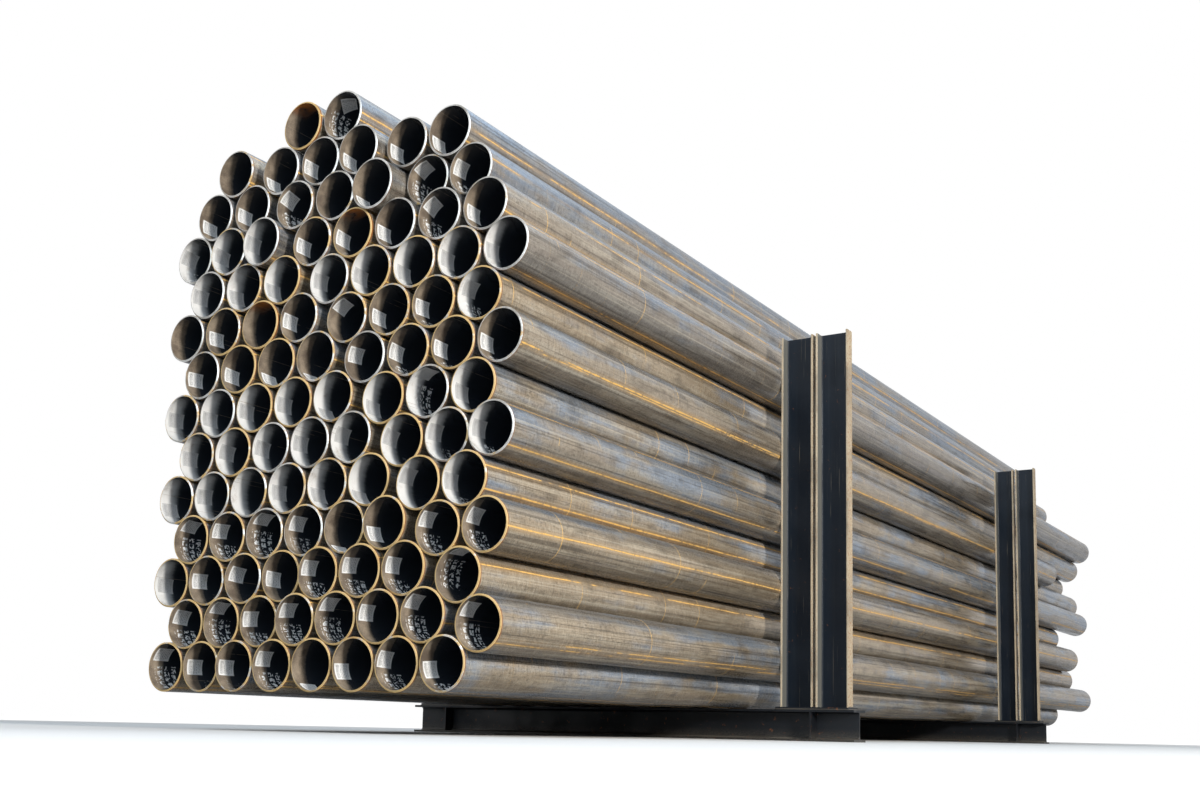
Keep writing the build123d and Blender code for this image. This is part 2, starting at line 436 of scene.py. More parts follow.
def line_group():
    """A thin wandering line that runs along a pipe, broken here and there, and the stain beside it."""
    nodes, get = new_group("water_line", {
        "Around": 0.0, "Along": 0.0, "Seed": 0.0, "At": 0.0, "Width": 0.006, "Wander": 0.022,
        "Broken": 0.45,
    })
    along = get["Along"]
    row = get["Seed"] * 53.0 + get["At"] * 17.0
    wander = nodes.noise(nodes.combine(along, row, 0.0), 1.1, 6.0, 0.62, 0.4)
    fine = nodes.noise(nodes.combine(along, row, 4.0), 30.0, 3.0, 0.7)
    gaps = nodes.noise(nodes.combine(along, row, 9.0), 1.3, 5.0, 0.7)
    centre = get["At"] + (wander - 0.5) * get["Wander"]
    away = abs(nodes.wrapped(get["Around"] - centre))
    width = get["Width"] * (fine + 0.25)
    body = nodes.step(away, width, width * 0.45)
    whole = nodes.step(gaps, get["Broken"], get["Broken"] + 0.05)
    patchy = nodes.step(fine, 0.3, 0.52)
    stain = nodes.step(away, get["Width"] * 5.0, 0.0)
    return close_group(nodes, {"Mask": body * whole * patchy, "Stain": stain * nodes.step(gaps, 0.3, 0.6)})


def hoop_group():
    """Thin arcs round a pipe, one at most in each pitch along it."""
    nodes, get = new_group("hoops", {
        "Around": 0.0, "Along": 0.0, "Seed": 0.0, "Pitch": 0.5, "Width": 0.003, "Reach": 0.7,
    })
    pitches = (get["Along"] + get["Seed"] * 40.0) / get["Pitch"]
    cell = nodes.math("FLOOR", pitches)
    where = nodes.combine(cell, get["Seed"], 0.0)
    chance = nodes.out("ShaderNodeTexWhiteNoise", {"Vector": where}, "Color", noise_dimensions="3D")
    at, span, side = nodes.split(chance)
    bend = nodes.noise(nodes.combine(cell, get["Around"], 3.0), 3.0, 2.0)
    here = at * 0.7 + bend * 0.03 + 0.12
    away = abs(nodes.math("FRACT", pitches) - here) * get["Pitch"]
    body = nodes.step(away, get["Width"], get["Width"] * 0.4)
    turn = abs(nodes.wrapped(get["Around"] - side))
    reach = span * span * get["Reach"]
    return close_group(nodes, {"Mask": body * nodes.step(turn, reach, reach * 0.7)})


def scribble_group():
    """Rows of short curls, such as chalk leaves, that spell nothing."""
    nodes, get = new_group("chalk_curls", {
        "Across": 0.0, "Down": 0.0, "Seed": 0.0, "Row": 0.048, "Cell": 0.034, "Thickness": 0.1,
    })
    rows = get["Down"] / get["Row"]
    shift = nodes.math("FRACT", nodes.math("FLOOR", rows) * 0.37) * 0.8
    cells = get["Across"] / get["Cell"] + shift
    within_row = abs(nodes.math("FRACT", rows) - 0.5)
    within_cell = abs(nodes.math("FRACT", cells) - 0.5)
    seed = get["Seed"] * 300.0 + nodes.math("FLOOR", cells) * 7.3
    curl = nodes.noise(nodes.combine(get["Across"], get["Down"], seed), 44.0, 0.8, 0.5, 0.6)
    stroke = nodes.step(abs(curl - 0.5), get["Thickness"], get["Thickness"] * 0.5)
    window = nodes.step(within_row, 0.38, 0.33) * nodes.step(within_cell, 0.42, 0.36)
    return close_group(nodes, {"Mask": stroke * window})


def dirt_group():
    """Dirt that gathers by a pipe's end, in patches."""
    nodes, get = new_group("end_dirt", {"From End": 0.0, "Pattern": "Vector", "Reach": 0.03})
    reach = get["Reach"] * (nodes.noise(get["Pattern"], 26.0, 5.0, 0.65) + 0.45)
    return close_group(nodes, {"Mask": nodes.step(get["From End"], reach, reach * 0.55)})


def wear_group():
    """Chips, runs and dust on painted steel."""
    nodes, get = new_group("paint_wear", {"Pattern": "Vector", "Chip Scale": 40.0, "Chips": 0.68})
    pattern, level = get["Pattern"], get["Chips"]
    spots = nodes.noise(pattern, get["Chip Scale"], 6.0, 0.72, 0.2)
    runs = nodes.noise(nodes.vector("MULTIPLY", pattern, (42.0, 42.0, 1.1)), 1.0, 4.0, 0.6)
    dust = nodes.noise(pattern, 3.4, 5.0, 0.62)
    return close_group(nodes, {
        "Chips": nodes.step(spots, level, level + 0.02), "Bloom": nodes.step(spots, level - 0.06, level),
        "Runs": nodes.step(runs, 0.5, 0.74), "Dust": nodes.step(dust, 0.42, 0.7),
        "Grain": nodes.noise(pattern, 420.0, 3.0, 0.6),
    })


def principled(name, shading, *given, **constants):
    """A material whose Principled shader takes what shading returns, and constants, both by socket name."""
    material = bpy.data.materials.new(name)
    material.use_nodes = True
    shader = material.node_tree.nodes["Principled BSDF"]
    nodes = Nodes(material.node_tree)
    for socket, value in shading(nodes, *given).items():
        nodes.feed(shader.inputs[socket], value)
    for socket, value in constants.items():
        nodes.feed(shader.inputs[socket.replace("_", " ")], value)
    return material


def wandering(nodes, groups, where, lines, spread, drift, wander):
    """Outputs of the line group for each of some lines, which the pipe's seed turns."""
    found = []
    for offset, width, broken in lines:
        at = where["Seed"] * (spread + offset * drift) + offset
        found.append(nodes.group(
            groups["line"], Around=where["Around"], Along=where["Along"], Seed=where["Seed"], At=at,
            Width=width, Wander=wander, Broken=broken,
        ))
    return found


def outside_shading(nodes, look, groups):
    """Mill scale with streaks, smudges, water lines, hoops and rust by the ends, a painted blue sky sheen on
    top and painted shade on the underside.
    """
    where = nodes.group(groups["place"])
    pattern, seed = where["Pattern"], where["Seed"]
    cover = {}
    for name, (scale, stretch, detail) in SCALE_STREAKS.items():
        drawn = nodes.group(groups["streaks"], Pattern=pattern, Scale=scale, Stretch=stretch, Detail=detail)
        cover[name] = drawn["Value"]
    cloud = nodes.noise(pattern, 2.6, 5.0, 0.62, 0.3)
    # how far up round the pipe: it leans the tone blue on top and steers the painted sky sheen above and the
    # painted shade below
    upper = nodes.math("COSINE", where["Clock"] * FULL_TURN)
    cover.update(upper=upper, underside=upper + cloud * 0.5, damp=where["Rust"])

    tone = cover["band"] * 0.65 + cloud * 0.35 + (seed - 0.5) * 0.13 + upper * 0.045
    colour = nodes.blend(nodes.step(tone, 0.48, 0.62), look.scale_brown, look.scale_blue)
    for name, low, high, share, shade in SCALE_COATS:
        colour = nodes.blend(nodes.step(cover[name], low, high) * share, colour, getattr(look, shade))

    lines = wandering(nodes, groups, where, WATER_LINES, 7.0, 3.0, 0.022)
    stain = nodes.most(*(line["Stain"] for line in lines))
    hoop = nodes.group(groups["hoops"], Around=where["Around"], Along=where["Along"], Seed=seed)["Mask"]
    hoop = hoop * nodes.step(cover["mottle"], 0.3, 0.5)
    line = nodes.most(*(line["Mask"] for line in lines), hoop)
    dirt = nodes.group(groups["dirt"], From_End=where["From End"], Pattern=pattern, Reach=0.018)["Mask"]
    spots = nodes.step(nodes.noise(pattern, 70.0, 4.0, 0.7), 0.64, 0.73)
    rust = nodes.most(dirt * where["Rust"], spots * 0.5)
    colour = nodes.blend(stain * 0.55, colour, look.rust_stain)
    colour = nodes.blend(rust * 0.8, colour, look.rust)
    colour = nodes.blend(line * 0.92, colour, look.rust_line)

    oxide = nodes.most(rust, line)
    worn = nodes.step(cover["streak"], 0.35, 0.65) * 0.16 + nodes.step(cover["mottle"], 0.4, 0.62) * 0.2
    height = (cover["fine"] + cover["scored"]) * 0.35 + cover["mottle"] * 0.65
    return {
        "Base Color": colour, "Roughness": 0.13 + worn + oxide * 0.3, "Metallic": (1.0 - oxide) * 0.5,
        "Normal": nodes.bump(height, 0.0012, 0.45),
    }


def bore_shading(nodes, look, groups):
    """The bore: dusty or polished at the mouth in a crescent on the left wall that is partly wear and partly
    painted sunlight, dark and glossy beyond, with chalk, rust and scratches.
    """
    where = nodes.group(groups["place"])
    pattern, clock, polish = where["Pattern"], where["Clock"], where["Polish"]
    inward, along = where["From End"], where["Along"]
    streak = nodes.group(groups["streaks"], Pattern=pattern, Scale=60.0, Stretch=0.1)["Value"]
    grain = nodes.noise(pattern, 240.0, 4.0, 0.62)
    cloud = nodes.noise(pattern, 11.0, 4.0, 0.6)

    # a crescent on the left wall near the mouth, as deep as the edge of a low light's shadow: partly wear,
    # partly painted sunlight
    turned = abs(clock + 0.27)
    depth = inward + (streak - 0.5) * 0.02 + turned * turned * 0.9
    rubbed_and_lit_crescent = nodes.step(depth, polish * 0.03 + 0.105, 0.082) * nodes.step(turned, 0.27, 0.13)
    tan = grain * 0.35 + cloud * 0.65
    dusty = nodes.blend(nodes.step(tan, 0.36, 0.66), look.bore_mouth, look.bore_dust)
    bright = nodes.blend(nodes.step(tan, 0.5, 0.8), look.bore_polish_and_sunlight, look.bore_dust)
    bright = nodes.blend(nodes.step(depth, 0.05, 0.12) * 0.6, bright, look.bore_grey)
    film = nodes.blend(nodes.step(inward, 0.16, 0.02), look.bore_dark, look.bore_film)
    colour = nodes.blend(rubbed_and_lit_crescent, film, nodes.blend(polish, dusty, bright))

    roof = nodes.step(abs(clock - 0.02), 0.16, 0.05) * nodes.step(inward, 0.13, 0.07)
    rusty = roof * nodes.step(where["Rust"], 1.2, 1.6) * nodes.step(cloud, 0.25, 0.5)
    fresh = nodes.step(inward, 0.075, 0.02) * nodes.step(streak, 0.35, 0.55)
    colour = nodes.blend(rusty, colour, nodes.blend(fresh, look.rust, look.bore_rust))
    scratches = wandering(nodes, groups, where, BORE_SCRATCHES, 5.0, 0.0, 0.012)
    scratch = nodes.most(*(line["Mask"] for line in scratches)) * nodes.step(inward, 0.4, 0.1)
    colour = nodes.blend(scratch * 0.5, colour, look.bore_dust)

    across = nodes.wrapped(clock - where["Mark"]) * 0.8
    curls = nodes.group(groups["scribble"], Across=across, Down=along, Seed=where["Seed"])["Mask"]
    room = nodes.step(abs(across), 0.078, 0.07) * nodes.between(along, (0.036, 0.04), (0.2, 0.19))
    faint = cloud * 1.2 + (where["Chalk"] - 0.8)
    chalk = curls * room * nodes.step(faint, 0.1, 0.4)
    colour = nodes.blend(chalk, colour, look.chalk)

    matt = nodes.most(chalk, rusty)
    return {
        "Base Color": colour, "Roughness": 0.2 + rubbed_and_lit_crescent * (grain * 0.3 + 0.12) + matt * 0.35,
        "Metallic": rubbed_and_lit_crescent * (polish * 0.25) * (1.0 - matt),
        "Normal": nodes.bump(streak + grain * 0.5, 0.0008, 0.4),
    }


def rim_shading(nodes, look, groups):
    """Bevels and root faces: machined bright, going to gold and orange where they have rusted."""
    where = nodes.group(groups["place"])
    pattern = where["Pattern"]
    grain = nodes.noise(pattern, 220.0, 3.0, 0.6)
    turned = nodes.noise(nodes.combine(where["From End"] * 900.0, where["Seed"], 0.0), 1.0, 2.0)
    level = 0.86 - where["Rust"] * 0.5
    rust = nodes.step(nodes.noise(pattern, 16.0, 4.0, 0.6), level - 0.06, level + 0.06)
    dull = grain * 0.4 + nodes.noise(pattern, 9.0, 3.0, 0.6) * 0.6
    start, end = ((look.inner + low, look.inner + high) for low, high in RIM_MIDDLE)
    colour = nodes.blend(nodes.step(dull, 0.38, 0.62), look.bare, look.bare_grey)
    colour = nodes.blend(rust * 0.85, colour, look.rim_rust)
    colour = nodes.blend(nodes.step(dull, 0.52, 0.66) * (rust * 0.5), colour, look.rust)
    colour = nodes.blend(nodes.between(where["Radius"], start, end) * 0.4, colour, look.rim_dark)
    return {
        "Base Color": colour, "Roughness": 0.26 + turned * 0.15 + rust * 0.3,
        "Metallic": 0.85 - rust * 0.75, "Normal": nodes.bump(grain + turned, 0.0004, 0.5),
    }


def paper_shading(nodes, look):
    """Label paper with plain printed rules, bars and boxes, read from the label's own map, and painted shade
    from the stored grey value.
    """
    across, down = nodes.split(nodes.out("ShaderNodeUVMap", uv_map="UVMap"))[:2]
    rows = down * 9.0
    dashes = nodes.combine(across * 17.0, nodes.math("FLOOR", rows) * 3.7, 0.0)
    words = nodes.between(nodes.math("FRACT", rows), (0.5, 0.56), (0.86, 0.8))
    words = words * nodes.step(nodes.noise(dashes, 1.0, 1.0), 0.42, 0.48)
    words = words * nodes.step(down + across * 0.2, 0.3, 0.34)
    bars = nodes.step(nodes.noise(nodes.combine(across * 90.0, 0.0, 5.0), 1.0, 1.0), 0.48, 0.52)
    bars = bars * nodes.between(down, (0.09, 0.1), (0.26, 0.25))
    inside = nodes.between(across, (0.07, 0.09), (0.93, 0.91))
    inside = inside * nodes.between(down, (0.05, 0.07), (0.95, 0.93))
    ink = nodes.most(words, bars) * inside

    where = nodes.out("ShaderNodeTexCoord", key="Object")
    fibre = nodes.noise(where, 260.0, 3.0, 0.6)
    soil = nodes.noise(where, 18.0, 4.0, 0.6)
    # the stored grey is painted shade on the labels in bright bores
    shaded = nodes.out("ShaderNodeAttribute", key="Fac", attribute_name="grey")
    colour = nodes.blend(nodes.step(soil, 0.45, 0.75) * 0.45, look.paper, look.soil)
    colour = nodes.blend(nodes.most(ink * 0.8, shaded), colour, look.print_grey)
    return {
        "Base Color": colour, "Roughness": 0.42 + soil * 0.25, "Normal": nodes.bump(fibre, 0.0003, 0.3),
    }


def post_shading(nodes, look, groups, low, high, backs):
    """Slate paint darkened to its look in shade, a painted shade, with a painted lit grey on the flange sides
    and painted pale sunlight on the toes and on the flanges turned away from the pipes, worn pale on the cut
    tops, chipped to rust.
    """
    where = nodes.out("ShaderNodeTexCoord", key="Object")
    x, y, z = nodes.split(where)
    nx, ny, nz = nodes.split(nodes.out("ShaderNodeNewGeometry", key="True Normal"))
    moved = nodes.vector("ADD", where, (7.0, 0.0, 0.0))
    wear = nodes.group(groups["wear"], Pattern=where, Chip_Scale=30.0, Chips=0.7)
    speck = nodes.group(groups["wear"], Pattern=moved, Chip_Scale=90.0, Chips=0.55)

    toe = nodes.step(y, low.y + 0.006, low.y + 0.003) * nodes.step(ny, -0.25, -0.8)
    outer = nodes.most(*(nodes.step(abs(abs(x) - back), 0.003, 0.001) for back in backs))
    outer = outer * nodes.step(abs(nx), 0.7, 0.9)
    cut = nodes.step(z, high.z - 0.004, high.z - 0.001) * nodes.step(nz, 0.5, 0.9)
    inner = nodes.step(abs(nx), 0.6, 0.9) * nodes.step(y, high.y - 0.012, high.y - 0.02)
    # the base paint is the paint's look in shade, a painted shade
    colour = nodes.blend(wear["Runs"] * 0.3, look.paint, look.paint_pale)
    colour = nodes.blend(wear["Dust"] * 0.35, colour, look.paint_dark)
    # painted light on the flange sides
    colour = nodes.blend(inner * 0.8, colour, look.flange_sunlit_grey)
    # painted pale sunlight on the toes and outer flanges, and wear on the cut tops
    worn = nodes.most(toe, outer, cut * 0.7)
    colour = nodes.blend(worn * (1.0 - speck["Dust"] * 0.45), colour, look.worn)

    spread = speck["Chips"] * nodes.most(outer * 0.9, cut * 0.8, toe * 0.28)
    rust = nodes.most(spread, wear["Chips"] * 0.75)
    colour = nodes.blend(wear["Bloom"] * 0.25, colour, look.rust)
    colour = nodes.blend(rust, colour, look.rust)
    scuff = nodes.noise(nodes.combine(x * 190.0, 0.0, z * 1.4), 1.0, 3.0, 0.6)
    scuff = nodes.step(scuff, 0.66, 0.7) * nodes.step(ny, -0.5, -0.9)
    colour = nodes.blend(scuff * 0.4, colour, look.worn)
    height = wear["Grain"] * 0.3 - nodes.most(wear["Chips"], spread * 0.6)
    return {
        "Base Color": colour, "Roughness": 0.34 + wear["Dust"] * 0.2 + nodes.most(rust, worn) * 0.25,
        "Normal": nodes.bump(height, 0.0006, 0.5),
    }


def sleeper_shading(nodes, look, groups):
    """Paint darkened to its look in shade on the sleepers and base plates, a painted shade, dusty on top and
    splashed below.
    """
    where = nodes.out("ShaderNodeTexCoord", key="Object")
    level = nodes.split(where)[2]
    upward = nodes.split(nodes.out("ShaderNodeNewGeometry", key="True Normal"))[2]
    wear = nodes.group(groups["wear"], Pattern=where, Chip_Scale=26.0, Chips=0.67)
    splash = nodes.step(level, 0.09, 0.0) * nodes.step(wear["Grain"], 0.42, 0.62)
    above = nodes.step(upward, 0.4, 0.9) * (0.35 + wear["Dust"] * 0.4)
    colour = nodes.blend(wear["Runs"] * 0.25, look.paint_dark, look.paint)
    colour = nodes.blend(nodes.most(splash * 0.5, above), colour, look.dust)
    colour = nodes.blend(wear["Bloom"] * 0.35, colour, look.rust)
    colour = nodes.blend(wear["Chips"] * 0.85, colour, look.rust)
    return {
        "Base Color": colour, "Roughness": 0.4 + nodes.most(wear["Dust"], wear["Chips"]) * 0.3,
        "Normal": nodes.bump(wear["Grain"] * 0.3 - wear["Chips"], 0.0006, 0.5),
    }


def floor_shading(nodes, look):
    """A pale floor that fades to plain white, and that matt surfaces get less light from."""
    where = nodes.out("ShaderNodeTexCoord", key="Object")
    away = nodes.out("ShaderNodeVectorMath", {0: where}, "Value", operation="LENGTH")
    seen = seen_rays(nodes)
    fade = nodes.step(away, *FLOOR_FADE) * seen
    low, dim = (tuple(part * share for part in look.floor) for share in (FLOOR_GRAIN, FLOOR_DIM))
    pale = nodes.blend(seen, dim, nodes.blend(nodes.noise(where, 2.0, 4.0, 0.6), low, look.floor))
    black, white = (0.0, 0.0, 0.0), (1.0, 1.0, 1.0)
    return {
        "Base Color": nodes.blend(fade, pale, black), "Roughness": 0.9,
        "Emission Color": nodes.blend(fade, black, white),
    }


def seen_rays(nodes):
    """1 for what the camera and reflections see, 0 for light on matt surfaces."""
    path = nodes.outs(nodes.add("ShaderNodeLightPath"))
    return nodes.most(path["Is Camera Ray"], path["Is Glossy Ray"], path["Is Transmission Ray"])


def box_of(points):
    """Lowest and highest corner of some points."""
    return [Vector(pick(point[i] for point in points) for i in range(3)) for pick in (min, max)]


def pipes_in(node):
    """Seen end's centre, length and radius of every pipe in a CAD node, from the left post."""
    mesh = bmesh.new()
    mesh.from_mesh(node.data)
    bmesh.ops.remove_doubles(mesh, verts=mesh.verts, dist=WELD)
    left = set(mesh.verts)
    found = []
    while left:
        waiting = [left.pop()]
        island = []
        while waiting:
            vert = waiting.pop()
            island.append(vert.co.copy())
            fresh = {edge.other_vert(vert) for edge in vert.link_edges} & left
            left -= fresh
            waiting.extend(fresh)
        low, high = box_of(island)
        centre = (low + high) / 2
        centre.y = low.y
        found.append({"centre": centre, "length": high.y - low.y, "radius": (high.x - low.x) / 2})
    mesh.free()
    if not found:
        raise RuntimeError(f"{node.name} holds no pipes")
    return sorted(found, key=lambda pipe: pipe["centre"].x)


def place_object(name, data):
    """A new object in the scene that shows some data."""
    made = bpy.data.objects.new(name, data)
    bpy.context.scene.collection.objects.link(made)
    return made


def point_mesh(name, points, traits):
    """An object of loose points that carry named values."""
    mesh = bpy.data.meshes.new(name)
    mesh.from_pydata(points, [], [])
    for label, values in traits.items():
        mesh.attributes.new(label, "FLOAT", "POINT").data.foreach_set("value", values)
    return place_object(name, mesh)


def run_tree(piece, tree, inputs):
    """Turn an object of points into the plain mesh that a Geometry Nodes tree makes from it."""
    modifier = piece.modifiers.new(piece.name, "NODES")
    modifier.node_group = tree
    sockets = {item.name: item.identifier for item in tree.interface.items_tree if item.in_out == "INPUT"}
    for label, value in inputs.items():
        modifier[sockets[label]] = value
    graph = bpy.context.evaluated_depsgraph_get()
    shown = piece.evaluated_get(graph)
    mesh = bpy.data.meshes.new_from_object(shown, preserve_all_data_layers=True, depsgraph=graph)
    piece.modifiers.clear()
    old = piece.data
    piece.data = mesh
    bpy.data.meshes.remove(old)
    mesh.name = piece.name


def stored(nodes, name):
    """A named value that the points carry."""
    return nodes.out("GeometryNodeInputNamedAttribute", {"Name": name})


def store(nodes, shape, name, value, chosen):
    """A shape with a named value stored on its points, or on those that chosen selects."""
    inputs = {"Geometry": shape, "Name": name, "Value": value, **chosen}
    return nodes.out("GeometryNodeStoreNamedAttribute", inputs, data_type="FLOAT", domain="POINT")


def wall_steps(look):
    """Each step round the pipe's section: outwards, along, 1 if it ends at the far end, finish."""
    rise = look.wall - look.root_face
    return (
        (look.root_face, 0.0, 0.0, "rim"), (rise, look.bevel, 0.0, "rim"),
        (0.0, 1.0 - 2 * look.bevel, 1.0, "outside"), (-rise, look.bevel, 1.0, "rim"),
        (-look.root_face, 0.0, 1.0, "rim"), (0.0, -1.0, 0.0, "bore"),
    )


def pipe_tree(look, radius, materials):
    """Geometry Nodes that turn each point into a pipe a metre long, and then draw its far end out."""
    inputs = {"Points": "Geometry", "Bore Radius": radius - look.wall, "Sides": look.sides}
    nodes, get = new_group("pipe_row", inputs, "Geometry")
    circle = nodes.out("GeometryNodeMeshCircle", {"Vertices": get["Sides"], "Radius": get["Bore Radius"]})
    turn = (math.radians(90), 0.0, 0.0)
    shape = nodes.out("GeometryNodeTransform", {"Geometry": circle, "Rotation": turn})
    x, z = nodes.split(nodes.out("GeometryNodeInputPosition"))[::2]
    outward = nodes.vector("NORMALIZE", nodes.combine(x, 0.0, z))
    chosen = {}
    shape = store(nodes, shape, "far", 0.0, chosen)
    for rise, along, far, finish in wall_steps(look):
        offset = nodes.out("ShaderNodeVectorMath", {0: outward, "Scale": rise}, operation="SCALE")
        offset = nodes.vector("ADD", offset, (0.0, along, 0.0))
        drawn = nodes.outs(nodes.add("GeometryNodeExtrudeMesh", {
            "Mesh": shape, "Offset": offset, "Offset Scale": 1.0, **chosen,
        }, mode="EDGES"))
        chosen = {"Selection": drawn["Top"]}
        shape = nodes.out("GeometryNodeSetMaterial", {
            "Geometry": store(nodes, drawn["Mesh"], "far", far, chosen), "Selection": drawn["Side"],
            "Material": materials[finish],
        })
    closed = nodes.out("GeometryNodeMergeByDistance", {"Geometry": shape, "Distance": WELD})
    rows = nodes.out("GeometryNodeInstanceOnPoints", {"Points": get["Points"], "Instance": closed})
    real = nodes.out("GeometryNodeRealizeInstances", {"Geometry": rows})
    longer = stored(nodes, "far") * (stored(nodes, "length") - 1.0)
    offset = nodes.combine(0.0, longer, 0.0)
    moved = nodes.out("GeometryNodeSetPosition", {"Geometry": real, "Offset": offset})
    return close_group(nodes, {"Pipes": moved})


def label_tree(look, radius, material):
    """Geometry Nodes that lay one paper label in the bore at each point."""
    nodes, get = new_group("bore_labels", {
        "Points": "Geometry", "Width": look.width, "Height": look.height, "Bore Radius": radius,
        "Lift": look.lift,
    }, "Geometry")
    sheet = nodes.outs(nodes.add("GeometryNodeMeshGrid", {
        "Size X": get["Height"], "Size Y": get["Width"], "Vertices X": LABEL_POINTS[0],
        "Vertices Y": LABEL_POINTS[1],
    }))
    mapped = nodes.out("GeometryNodeStoreNamedAttribute", {
        "Geometry": sheet["Mesh"], "Name": "UVMap", "Value": sheet["UV Map"],
    }, data_type="FLOAT2", domain="CORNER")
    tilt = nodes.combine(0.0, 0.0, stored(nodes, "tilt"))
    laid = nodes.out("GeometryNodeInstanceOnPoints", {
        "Points": get["Points"], "Instance": mapped, "Rotation": tilt,
    })
    real = nodes.out("GeometryNodeRealizeInstances", {"Geometry": laid})
    across, along = nodes.split(nodes.out("GeometryNodeInputPosition"))[:2]
    reach = get["Bore Radius"] - get["Lift"]
    angle = across / get["Bore Radius"] + stored(nodes, "turn")
    spot = nodes.combine(
        stored(nodes, "middle_x") + reach * nodes.math("SINE", angle), stored(nodes, "middle_y") + along,
        stored(nodes, "middle_z") + reach * nodes.math("COSINE", angle),
    )
    bent = nodes.out("GeometryNodeSetPosition", {"Geometry": real, "Position": spot})
    return close_group(nodes, {
        "Labels": nodes.out("GeometryNodeSetMaterial", {"Geometry": bent, "Material": material}),
    })


def write_places(piece, pipes, states):
    """Store on each point where it lies on its own pipe, and that pipe's length, seed, roll and state."""
    mesh = piece.data
    which = [0.0] * len(mesh.vertices)
    mesh.attributes["pipe"].data.foreach_get("value", which)
    rows = {name: [] for name in PIPE_VECTORS}
    marks = []
    for vert, number in zip(mesh.vertices, which):
        pipe, state = pipes[round(number)], states[round(number)]
        rows["pipe_place"].extend(vert.co - pipe["centre"])
        rows["pipe_traits"].extend((pipe["length"], state["seed"], state["roll"]))
        rows["pipe_state"].extend((state["rust"], state["polish"], state["chalk"]))
        marks.append(state["mark"])
    for name, values in rows.items():
        mesh.attributes.new(name, "FLOAT_VECTOR", "POINT").data.foreach_set("vector", values)
    mesh.attributes.new("pipe_mark", "FLOAT", "POINT").data.foreach_set("value", marks)


def pipe_states(layer, draw):
    """How rusted, polished and chalked each pipe of a layer is; lower layers rust more at their rims."""
    height = layer / (len(LAYER_NODES) - 1)
    states = []
    for kind, chalk, hour in zip(BORE_KINDS[layer], CHALK_MARKS[layer], LABEL_HOURS[layer]):
        damp = min(1.0, max(LEAST_DAMP, BOTTOM_DAMP - height + draw.uniform(*DAMP_SPREAD)))
        states.append({
            "seed": draw.random(), "roll": draw.uniform(0.0, FULL_TURN),
            "rust": OPEN_RUST if kind == "o" else damp, "polish": 1.0 if kind == "b" else 0.0,
            "chalk": int(chalk) / FULL_CHALK, "mark": ((hour or USUAL_HOUR) - CHALK_BEHIND) / CLOCK_HOURS,
        })
    return states


class PIPESTACK_OT_pipes(bpy.types.Operator):
    """Make every layer of pipes and give it its finish"""

    bl_idname = "pipestack.pipes"
    bl_label = "Pipes"

    def execute(self, context):
        look = context.scene.pipe_look
        groups = {
            "place": place_group(), "streaks": streak_group(), "line": line_group(), "hoops": hoop_group(),
            "scribble": scribble_group(), "dirt": dirt_group(),
        }
        materials = {
            "outside": principled(
                "pipe_outside", outside_shading, look, groups, Specular_Tint=(0.52, 0.58, 0.68),
                Specular_IOR_Level=0.35,
            ),
            "bore": principled("pipe_bore", bore_shading, look, groups, Specular_Tint=(0.8, 0.88, 1.0)),
            "rim": principled("pipe_rim", rim_shading, look, groups),
        }
        layers = {name: pipes_in(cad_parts[name]) for name in LAYER_NODES}
        tree = pipe_tree(look, layers[LAYER_NODES[0]][0]["radius"], materials)
        draw = random.Random(PIPE_SEED)
        for layer, (node_name, pipes) in enumerate(layers.items()):
            piece = point_mesh(
                node_name.replace("pipe_", "pipes_"), [tuple(pipe["centre"]) for pipe in pipes],
                {"length": [pipe["length"] for pipe in pipes], "pipe": [float(i) for i in range(len(pipes))]},
            )
            run_tree(piece, tree, {"Sides": look.sides, "Bore Radius": pipes[0]["radius"] - look.wall})
            write_places(piece, pipes, pipe_states(layer, draw))
            piece.data.shade_smooth()
            piece.data.set_sharp_from_angle(angle=SHARP_ANGLE)
            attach(piece, "root")
            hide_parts(node_name)
        return {"FINISHED"}


class PIPESTACK_OT_labels(bpy.types.Operator):
    """Lay a paper label in the mouth of each bore that has one"""

    bl_idname = "pipestack.labels"
    bl_label = "Paper labels"

    def execute(self, context):
        look = context.scene.label_look
        draw = random.Random(LABEL_SEED)
        layers = [pipes_in(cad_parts[name]) for name in LAYER_NODES]
        rows = []
        for layer, (pipes, hours) in enumerate(zip(layers, LABEL_HOURS), start=1):
            for place, (pipe, hour) in enumerate(zip(pipes, hours), start=1):
                if not hour:
                    continue
                slack = (draw.uniform(0.0, LABEL_SLACK), draw.uniform(-LABEL_TILT, LABEL_TILT))
                deeper, tilt = ASKEW_LABELS.get((layer, place), slack)
                # labels in bright bores get painted shade
                grey = BRIGHT_BORE_LABEL_SHADE if BORE_KINDS[layer - 1][place - 1] == "b" else 0.0
                x, y, z = pipe["centre"]
                y += look.inset + look.width / 2 + deeper
                rows.append((x, y, z, hour / CLOCK_HOURS * FULL_TURN, math.radians(tilt), grey))
        radius = layers[0][0]["radius"] - context.scene.pipe_look.wall
        piece = point_mesh("paper_labels", [(0.0, 0.0, 0.0)] * len(rows), dict(zip(LABEL_TRAITS, zip(*rows))))
        tree = label_tree(look, radius, principled("label_paper", paper_shading, look))
        run_tree(piece, tree, {"Bore Radius": radius})
        thick = piece.modifiers.new("paper", "SOLIDIFY")
        thick.thickness = look.lift / 2
        thick.offset = 0.0
        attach(piece, "root")
        return {"FINISHED"}


